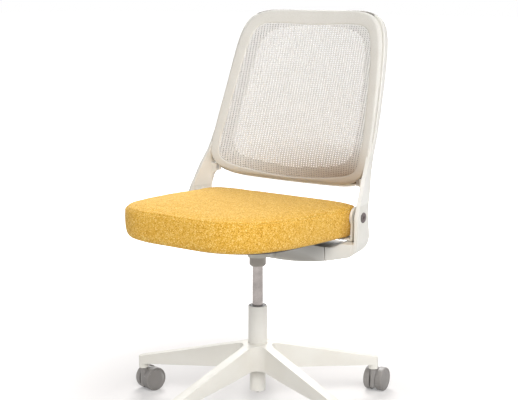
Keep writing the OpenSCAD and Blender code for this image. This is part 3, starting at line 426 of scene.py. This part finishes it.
ROUNDS = {"star_base": 1.2, "mechanism_housing": 1.2, "side_arm_left": 1.6, "side_arm_right": 1.6,
          "seat_bracket_left": 1.0, "seat_bracket_right": 1.0, "column_collar": 0.6,
          "hip_bolt_left": 0.6, "hip_bolt_right": 0.6, "height_lever": 1.0, "seat_pan": 1.5}
HOOD_ROUND, WHEEL_ROUND = 1.0, 0.5
for i in range(1, 6):
    ROUNDS[f"castor_hood_{i}"] = HOOD_ROUND
    ROUNDS[f"castor_wheel_{i}a"] = WHEEL_ROUND
    ROUNDS[f"castor_wheel_{i}b"] = WHEEL_ROUND
for node, width in ROUNDS.items():
    rounded(node, width * MM)


# Back: the surface that the front of the fabric follows, in millimetres
EDGE_STEP = math.radians(0.75)


def back_share(z):
    return (z - HIP_Z - BACK_UP) / BACK_H


def back_width(z):
    return BACK_HALF_W - BACK_TAPER * back_share(z) - BACK_TAPER_MORE * back_share(z) ** 2


def back_y(x, z):
    s = back_share(z)
    tuck = BACK_TUCK * np.maximum(0.0, 1 - s / BACK_TUCK_SHARE) ** 2
    bow = BACK_BOW * (1 - (x / back_width(z)) ** 2)
    return BACK_LOW_Y + BACK_LEAN * s - BACK_SAG * s ** 2 + tuck + bow


def back_edge(a, out):
    c, s = np.abs(np.cos(a)), np.abs(np.sin(a))
    k = (c ** BACK_POWER + s ** BACK_POWER) ** (-1 / BACK_POWER)
    drop = BACK_DROP * np.maximum(0.0, -np.sin(a)) ** 4
    z = BACK_MID_Z + (BACK_H / 2 + out) * k * np.sin(a) - drop
    return np.stack([(back_width(z) + out) * k * np.cos(a), z], -1)


def on_back(a, out, inwards):
    p = back_edge(a, out)
    t = back_edge(a + EDGE_STEP, out) - p
    n = np.stack([-t[..., 1], t[..., 0]], -1) / np.linalg.norm(t, axis=-1, keepdims=True)
    q = p + np.asarray(inwards)[..., None] * n
    return np.stack([q[..., 0], back_y(q[..., 0], q[..., 1]), q[..., 1]], -1)


def back_rear(p):
    """Direction from the front of the fabric to the rear, toed in like the side arms."""
    d = np.stack([-TOE_SIN * (p[..., 0] / BACK_HALF_W) ** 3, np.ones(p.shape[:-1]),
                  -(BACK_LEAN - 2 * BACK_SAG * back_share(p[..., 2])) / BACK_H], -1)
    return d / np.linalg.norm(d, axis=-1, keepdims=True)


def band_width(a):
    up = np.maximum(0.0, np.sin(a)) ** 4
    down = np.maximum(0.0, -np.sin(a)) ** 4
    return BORDER_SIDE + (BORDER_TOP - BORDER_SIDE) * up + (BORDER_LOW - BORDER_SIDE) * down


# Border: steps round the back and round one corner of the section, then its rounds and swells
BAND_STEPS, ROUND_STEPS = 360, 7
BAND_ROUND, BAND_ROUND_SHARE = 4.6, 0.46
BAND_CROWN, BAND_FLARE, FLARE_LIFT_SHARE = 0.9, 12.0, 0.8


def band_section(width):
    """Outline of the border's section with rounded corners: across the band and into its depth."""
    r = min(BAND_ROUND, BAND_ROUND_SHARE * width)
    far, deep = width - r, PANEL_T - r
    section = []
    for u, v, start in ((far, deep, 0), (r, deep, 90), (r, r, 180), (far, r, 270)):
        for k in range(ROUND_STEPS):
            b = math.radians(start + k * 90 / (ROUND_STEPS - 1))
            section.append((u + r * math.cos(b), v + r * math.sin(b)))
    return section


def border_band():
    """Fabric border: a rounded band along the panel's outline, wider to the rear near its top."""
    points, run, across = [], [], []
    walked = 0.0
    before = None
    for a in (np.arange(BAND_STEPS) + 0.5) * 2 * math.pi / BAND_STEPS:
        w = float(band_width(a))
        section = band_section(w)
        p = on_back(a, 0.0, 0.0)
        d = back_rear(p)
        up = max(0.0, float(back_share(p[2])))
        flare = BAND_FLARE * up * (p[0] / float(back_width(p[2]))) ** 3
        lift = FLARE_LIFT_SHARE * abs(flare) * max(0.0, math.sin(a))
        if before is not None:
            walked += float(np.linalg.norm(p - before))
        before = p
        around = 0.0
        last = section[-1]
        for u, v in section:
            around += math.hypot(u - last[0], v - last[1])
            last = (u, v)
            crown = BAND_CROWN * (1 - (2 * u / w - 1) ** 2) if v < PANEL_T / 2 else 0.0
            q = on_back(a, 0.0, u) + (v - crown) * d
            side = max(0.0, 1 - u / (w / 2)) * v / PANEL_T
            q = q + np.array([flare, 0.0, lift]) * side
            points.append(q * MM)
            run.append(walked * MM)
            across.append(around * MM)
    n, m = BAND_STEPS, 4 * ROUND_STEPS
    faces = [(i * m + k, i * m + (k + 1) % m, (i + 1) % n * m + (k + 1) % m, (i + 1) % n * m + k)
             for i in range(n) for k in range(m)]
    ob = made("border_band", points, faces, "border_fabric")
    give(ob, "run", run)
    give(ob, "across", across)
    return ob


# Knit: its cells, its holes, its thickness and how it lies in the border, in millimetres
KNIT_PITCH, KNIT_ROW, HOLE_W, HOLE_H = 8.3, 5.0, 3.5, 2.2
KNIT_T, KNIT_SINK, KNIT_TUCK = 1.1, 1.5, 4.0
RIM_SHARES = [(-1, -1), (0, -1), (1, -1), (1, 0), (1, 1), (0, 1), (-1, 1), (-1, 0)]
HOLE_ANGLES = [math.radians(225 + 45 * k) for k in range(8)]
OUTLINE_STEPS = 1441


def knit_centres():
    """Centres of the cells that lie within the knit's outline, which the border's edge covers."""
    angles = np.linspace(0, TURN, OUTLINE_STEPS)
    edge = on_back(angles, 0.0, band_width(angles) - KNIT_TUCK)
    turns = np.arctan2(edge[:, 2] - BACK_MID_Z, edge[:, 0])
    order = np.argsort(turns)
    reach = np.hypot(edge[:, 0], edge[:, 2] - BACK_MID_Z)[order]
    turns = turns[order]
    lowest, highest = float(edge[:, 2].min()), float(edge[:, 2].max())
    half = int(BACK_HALF_W / KNIT_PITCH) + 1
    for j in range(int((highest - lowest) / KNIT_ROW) + 2):
        z = lowest + (j - 0.5) * KNIT_ROW
        for i in range(-half, half + 1):
            x = i * KNIT_PITCH
            if math.hypot(x, z - BACK_MID_Z) <= np.interp(math.atan2(z - BACK_MID_Z, x), turns, reach):
                yield x, z


def knit_sheet():
    """Open knit held between the border's edges: rows of cells, each with a rounded hole."""
    table, rims = {}, {}
    points, faces = [], []

    def corner(x, z, layer):
        key = (round(x, 3), round(z, 3), layer)
        if key not in table:
            table[key] = len(points)
            points.append((x, float(back_y(x, z)) + KNIT_SINK + layer * KNIT_T, z))
        return table[key]

    for x, z in knit_centres():
        rim = [(x + u * KNIT_PITCH / 2, z + v * KNIT_ROW / 2) for u, v in RIM_SHARES]
        hole = [(x + HOLE_W / 2 * math.cos(b), z + HOLE_H / 2 * math.sin(b)) for b in HOLE_ANGLES]
        outer = [[corner(*p, layer) for p in rim] for layer in (0, 1)]
        inner = [[corner(*p, layer) for p in hole] for layer in (0, 1)]
        for k in range(8):
            l = (k + 1) % 8
            faces.append((outer[0][k], outer[0][l], inner[0][l], inner[0][k]))
            faces.append((outer[1][l], outer[1][k], inner[1][k], inner[1][l]))
            faces.append((inner[0][k], inner[0][l], inner[1][l], inner[1][k]))
            side = (outer[0][k], outer[0][l])
            if side[::-1] in rims:
                del rims[side[::-1]]
            else:
                rims[side] = (outer[0][l], outer[0][k], outer[1][k], outer[1][l])
    faces += list(rims.values())
    points = np.array(points) * MM
    return made("knit_sheet", points, faces, "mesh_fabric"), points


# Side arms: the filling of their inner corner under the seat, in each arm's own plane, millimetres
ARM_OUT, ARM_T, ARM_ALONG, ARM_FRONT = 284.0, 10.3, 18.6, 39.0
LEG_TOP_Z, CORNER_R, CORNER_DEEP, CORNER_STEPS = 452.0, 75.0, 60.0, 16
CORNER_FRONT_Z, CORNER_REAR_Z = 464.0, 470.0
CORNER_BEHIND, CORNER_IN_ARM, CORNER_IN_LEG, CORNER_ROUND = 0.8, 2.0, 6.0, 1.4


def arm_corner(name, side):
    """Fills the corner between an arm and its lower leg, behind the arm's front face."""
    inner = ARM_OUT - ARM_T
    turn = math.asin(TOE_SIN)
    front = ARM_ALONG - ARM_FRONT + CORNER_BEHIND
    points = []
    for along, top in ((front, CORNER_FRONT_Z), (front + CORNER_DEEP, CORNER_REAR_Z)):
        outline = [(inner + CORNER_IN_ARM, LEG_TOP_Z - CORNER_IN_LEG), (inner + CORNER_IN_ARM, top)]
        for d in np.linspace(0.0, CORNER_R, CORNER_STEPS):
            rise = CORNER_R - math.sqrt(CORNER_R ** 2 - (CORNER_R - d) ** 2)
            outline.append((inner - d, LEG_TOP_Z + min(top - LEG_TOP_Z, rise)))
        outline.append((inner - CORNER_R, LEG_TOP_Z - CORNER_IN_LEG))
        for x, z in outline:
            points.append((side * (x * math.cos(turn) - along * math.sin(turn)) * MM,
                           (x * math.sin(turn) + along * math.cos(turn)) * MM, z * MM))
    n = len(outline)
    faces = [tuple(range(n)), tuple(reversed(range(n, 2 * n)))]
    faces += [((i + 1) % n, i, n + i, n + (i + 1) % n) for i in range(n)]
    if side < 0:
        faces = [f[::-1] for f in faces]
    # painted shade: the arms' darkened copy of the white
    ob = made(name, points, faces, "arm_white_painted_shade")
    bevelled(ob, CORNER_ROUND * MM, math.radians(30.0))
    ob.data.set_sharp_from_angle(angle=SMOOTH_BELOW)
    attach(ob, "back")


arm_corner("arm_corner_left", 1)
arm_corner("arm_corner_right", -1)

band = border_band()
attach(band, "back")
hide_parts("panel_frame")

knit, knit_points = knit_sheet()
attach(knit, "back")
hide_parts("back_mesh")


# Cushion, in the frame of its underside: the hip axis at zero, millimetres
HIP_Y, SEAT_SLOPE = 82.0, math.radians(-1.95)
SEAT_HALF_W, SEAT_FRONT, SEAT_REAR, SEAT_MID_Y = 246.0, 348.0, 130.0, 42.0
SEAT_T, SEAT_LOW, SEAT_CROWN = 77.0, -54.7, 12.0
SEAT_TOP, CENTRE_Y = SEAT_T + SEAT_LOW, SEAT_MID_Y - HIP_Y
REAR_POWER, FRONT_POWER, SEAT_STEPS, SEAT_GRID = 6.0, 3.8, 144, 5.0
# The side's rings as inset in millimetres and share of its height, the crown's as shares
SEAM_INSET = 4.0
SIDE_RINGS = [(60.0, 0.0), (30.0, 0.0), (16.0, 0.012), (9.0, 0.06), (5.0, 0.16), (2.4, 0.3), (0.8, 0.5),
              (0.2, 0.7), (0.6, 0.86), (2.0, 0.96), (SEAM_INSET, 1.0)]
CROWN_SHARES = [(0.97, 0.16), (0.9, 0.38), (0.8, 0.58), (0.66, 0.78), (0.48, 0.92), (0.26, 0.99)]
# The cover's swelling: simulated frames, pressure, its cap, and the shares of it kept per axis
SWELL_FRAMES, SWELL_PRESSURE, SWELL_QUALITY, SWELL_CAP = 20, 4.0, 5, 3.5
SWELL_SHARES, SWELL_FROM, SWELL_OVER = (0.15, 0.3, 1.0), 6.0, 30.0
# The seam's groove, the swell beside it and the run of its stitches
GROOVE_DEPTH, GROOVE_W, BESIDE_UP, BESIDE_AT, BESIDE_W, STITCH_W = 2.4, 2.6, 0.9, 7.0, 4.0, 2.4
TOP_BELOW, TOP_OUT = 1.0, 1.0


def cushion_edge(a, inset):
    rear = math.sin(a) > 0
    reach = (SEAT_REAR - SEAT_MID_Y) if rear else (SEAT_FRONT + SEAT_MID_Y)
    power = REAR_POWER if rear else FRONT_POWER
    c, s = abs(math.cos(a)), abs(math.sin(a))
    k = (c ** power + s ** power) ** (-1 / power)
    return np.array([(SEAT_HALF_W - inset) * k * math.cos(a), CENTRE_Y + (reach - inset) * k * math.sin(a)])


def to_row(points):
    """From the cushion's own frame to the row frame, in metres."""
    p = np.asarray(points, float)
    c, s = math.cos(SEAT_SLOPE), math.sin(SEAT_SLOPE)
    return np.stack([p[:, 0], HIP_Y + c * p[:, 1] - s * p[:, 2], HIP_Z + s * p[:, 1] + c * p[:, 2]], -1) * MM


def from_row(points):
    p = np.asarray(points, float) / MM - np.array([0.0, HIP_Y, HIP_Z])
    c, s = math.cos(SEAT_SLOPE), math.sin(SEAT_SLOPE)
    return np.stack([p[:, 0], c * p[:, 1] + s * p[:, 2], -s * p[:, 1] + c * p[:, 2]], -1)


def cushion_shape():
    """Closed shape of the cushion: rings up its side, then over its crown."""
    n, side_h = SEAT_STEPS, SEAT_TOP - SEAT_LOW
    mid = CENTRE_Y - SEAT_FRONT / 4
    points = []
    for inset, up in SIDE_RINGS:
        for i in range(n):
            p = cushion_edge(TURN * i / n, inset)
            points.append((p[0], p[1], SEAT_LOW + up * side_h))
    for share, up in CROWN_SHARES:
        for i in range(n):
            p = cushion_edge(TURN * i / n, SEAM_INSET)
            points.append((p[0] * share, mid + (p[1] - mid) * share, SEAT_TOP + SEAT_CROWN * up))
    count = len(SIDE_RINGS) + len(CROWN_SHARES)
    points.append((0.0, mid, SEAT_TOP + SEAT_CROWN))
    points.append((0.0, mid, SEAT_LOW))
    faces = [(k * n + i, k * n + (i + 1) % n, (k + 1) * n + (i + 1) % n, (k + 1) * n + i)
             for k in range(count - 1) for i in range(n)]
    faces += [((count - 1) * n + i, (count - 1) * n + (i + 1) % n, count * n) for i in range(n)]
    faces += [((i + 1) % n, i, count * n + 1) for i in range(n)]
    return made("cushion", to_row(points), faces, "seat_fabric")


def remeshed(ob, size):
    step = ob.modifiers.new("remesh", "REMESH")
    step.mode = "VOXEL"
    step.voxel_size = size
    step.use_smooth_shade = True
    apply_modifiers(ob)


def coordinates(ob):
    co = np.zeros(len(ob.data.vertices) * 3)
    ob.data.vertices.foreach_get("co", co)
    return co.reshape(-1, 3)


def moved_to(ob, co):
    ob.data.vertices.foreach_set("co", co.ravel())
    ob.data.update()


def swell(ob):
    """Swells the cover over its foam by a cloth simulation under pressure, and not at its foot."""
    rest = coordinates(ob)
    cloth = ob.modifiers.new("cloth", "CLOTH")
    cloth.settings.use_pressure = True
    cloth.settings.uniform_pressure_force = SWELL_PRESSURE
    cloth.settings.effector_weights.gravity = 0.0
    cloth.settings.quality = SWELL_QUALITY
    cloth.point_cache.frame_start = 1
    cloth.point_cache.frame_end = SWELL_FRAMES
    for f in range(1, SWELL_FRAMES + 1):
        scene.frame_set(f)
    apply_modifiers(ob)
    scene.frame_set(1)
    moved = coordinates(ob) - rest
    length = np.linalg.norm(moved, axis=1, keepdims=True)
    moved = moved * np.minimum(1.0, SWELL_CAP * MM / np.maximum(length, 1e-9))
    foot = np.clip((from_row(rest)[:, 2] - SEAT_LOW - SWELL_FROM) / SWELL_OVER, 0.0, 1.0)
    moved_to(ob, rest + moved * np.array(SWELL_SHARES) * foot[:, None])


def seamed(ob):
    """Presses in the seam where the top panel meets the side band, and marks what the wool needs."""
    own = from_row(coordinates(ob))
    outline = np.array([cushion_edge(t, SEAM_INSET) for t in np.linspace(-math.pi, math.pi, OUTLINE_STEPS)])
    around = np.arctan2(outline[:, 1] - CENTRE_Y, outline[:, 0])
    order = np.argsort(around)
    radius = np.hypot(outline[:, 0], outline[:, 1] - CENTRE_Y)[order]
    walked = np.concatenate([[0.0], np.cumsum(np.linalg.norm(np.diff(outline, axis=0), axis=1))])[order]
    angle = np.arctan2((own[:, 1] - CENTRE_Y), own[:, 0])
    edge_r = np.interp(angle, around[order], radius)
    r = np.hypot(own[:, 0], own[:, 1] - CENTRE_Y)
    off = np.hypot(r - edge_r, own[:, 2] - SEAT_TOP)
    groove = (BESIDE_UP * np.exp(-((off - BESIDE_AT) / BESIDE_W) ** 2)
              - GROOVE_DEPTH * np.exp(-(off / GROOVE_W) ** 2))
    normals = np.zeros(len(own) * 3)
    ob.data.vertices.foreach_get("normal", normals)
    moved_to(ob, coordinates(ob) + normals.reshape(-1, 3) * groove[:, None] * MM)
    give(ob, "run", np.interp(angle, around[order], walked) * MM)
    give(ob, "seam", np.exp(-(off / STITCH_W) ** 2))
    top = (own[:, 2] > SEAT_TOP - TOP_BELOW) & (r < edge_r + TOP_OUT)
    give(ob, "top", np.where(top, 1.0, 0.0))


def cushion():
    ob = cushion_shape()
    remeshed(ob, SEAT_GRID * MM)
    swell(ob)
    smooth = ob.modifiers.new("even", "SMOOTH")
    smooth.factor = 0.5
    smooth.iterations = 2
    finer = ob.modifiers.new("finer", "SUBSURF")
    finer.levels = finer.render_levels = 1
    apply_modifiers(ob)
    seamed(ob)
    ob.data.shade_smooth()
    return ob


pad = cushion()
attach(pad, "seat")
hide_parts("seat_cushion")


# Floor, which the camera sees paler the farther it is from the chair
FLOOR_HALF = 40.0
GLOW_NEAR, GLOW_EDGE, GLOW_AWAY, GLOW_FAR = 0.42, 0.85, 0.9, 2.0
GLOW_LOW, GLOW_MID, GLOW_ADDED = 0.27, 0.6, 0.6


def floor_material():
    m = Material("floor", roughness=0.9)
    rays = m.node("ShaderNodeLightPath").outputs
    plain = m.node("ShaderNodeBsdfDiffuse", {"Color": (0.78, 0.78, 0.78, 1.0)}).outputs[0]
    seen = m.node("ShaderNodeBsdfDiffuse", {"Color": (0.6, 0.58, 0.572, 1.0)}).outputs[0]
    away = m.node("ShaderNodeVectorMath", {0: m.place()}, operation="LENGTH").outputs["Value"]
    strength = m.maths("ADD", m.span(away, GLOW_NEAR, GLOW_EDGE, GLOW_LOW, GLOW_MID),
                       m.span(away, GLOW_AWAY, GLOW_FAR, 0.0, GLOW_ADDED))
    glow = m.node("ShaderNodeEmission", {"Color": (1.0, 1.0, 1.0, 1.0), "Strength": strength}).outputs[0]
    both = m.node("ShaderNodeAddShader", {0: seen, 1: glow}).outputs[0]
    chosen = m.maths("MAXIMUM", rays["Is Camera Ray"],
                     m.maths("MAXIMUM", rays["Is Glossy Ray"], rays["Is Transmission Ray"]))
    mixed = m.node("ShaderNodeMixShader", {0: chosen, 1: plain, 2: both}).outputs[0]
    m.tree.links.new(mixed, m.output.inputs["Surface"])
    m.tree.nodes.remove(m.shader)
    return m.data


FINISHES["floor"] = floor_material()
floor = made("floor", [(-FLOOR_HALF, -FLOOR_HALF, 0), (FLOOR_HALF, -FLOOR_HALF, 0),
                       (FLOOR_HALF, FLOOR_HALF, 0), (-FLOOR_HALF, FLOOR_HALF, 0)], [(0, 1, 2, 3)], "floor")


# Light: a white background for what sees it, next to none of it as light, and five soft lamps
WORLD_STRENGTH = 0.06
MIDDLE, LAMP_SIZE = (0.0, 0.0, 0.5), 1.8
LAMPS = {"key": ((2.7, -1.5, 3.2), 67.0), "right": ((3.0, 1.0, 2.6), 38.0),
         "front": ((1.6, -2.3, 2.4), 54.0), "left": ((-1.4, -2.5, 2.2), 22.0),
         "rear": ((-1.6, 2.0, 2.8), 104.0)}


def studio():
    world = bpy.data.worlds.new("studio")
    scene.world = world
    world.use_nodes = True
    nodes, links = world.node_tree.nodes, world.node_tree.links
    nodes.clear()
    rays = nodes.new("ShaderNodeLightPath").outputs
    light = nodes.new("ShaderNodeBackground")
    light.inputs["Color"].default_value = (1.0, 0.99, 0.98, 1.0)
    light.inputs["Strength"].default_value = WORLD_STRENGTH
    seen = nodes.new("ShaderNodeBackground")
    seen.inputs["Color"].default_value = (1.0, 1.0, 1.0, 1.0)
    seen.inputs["Strength"].default_value = 1.0
    chosen = rays["Is Camera Ray"]
    for ray in ("Is Glossy Ray", "Is Transmission Ray"):
        either = nodes.new("ShaderNodeMath")
        either.operation = "MAXIMUM"
        links.new(chosen, either.inputs[0])
        links.new(rays[ray], either.inputs[1])
        chosen = either.outputs[0]
    mixed = nodes.new("ShaderNodeMixShader")
    out = nodes.new("ShaderNodeOutputWorld")
    links.new(chosen, mixed.inputs[0])
    links.new(light.outputs[0], mixed.inputs[1])
    links.new(seen.outputs[0], mixed.inputs[2])
    links.new(mixed.outputs[0], out.inputs["Surface"])


def lamp(name, place, power):
    data = bpy.data.lights.new(name, "AREA")
    data.shape = "RECTANGLE"
    data.size = data.size_y = LAMP_SIZE
    data.energy = power
    ob = bpy.data.objects.new(name, data)
    scene.collection.objects.link(ob)
    ob.location = place
    ob.rotation_euler = (Vector(MIDDLE) - Vector(place)).to_track_quat("-Z", "Y").to_euler()


studio()
for name, (place, power) in LAMPS.items():
    lamp(name, place, power)
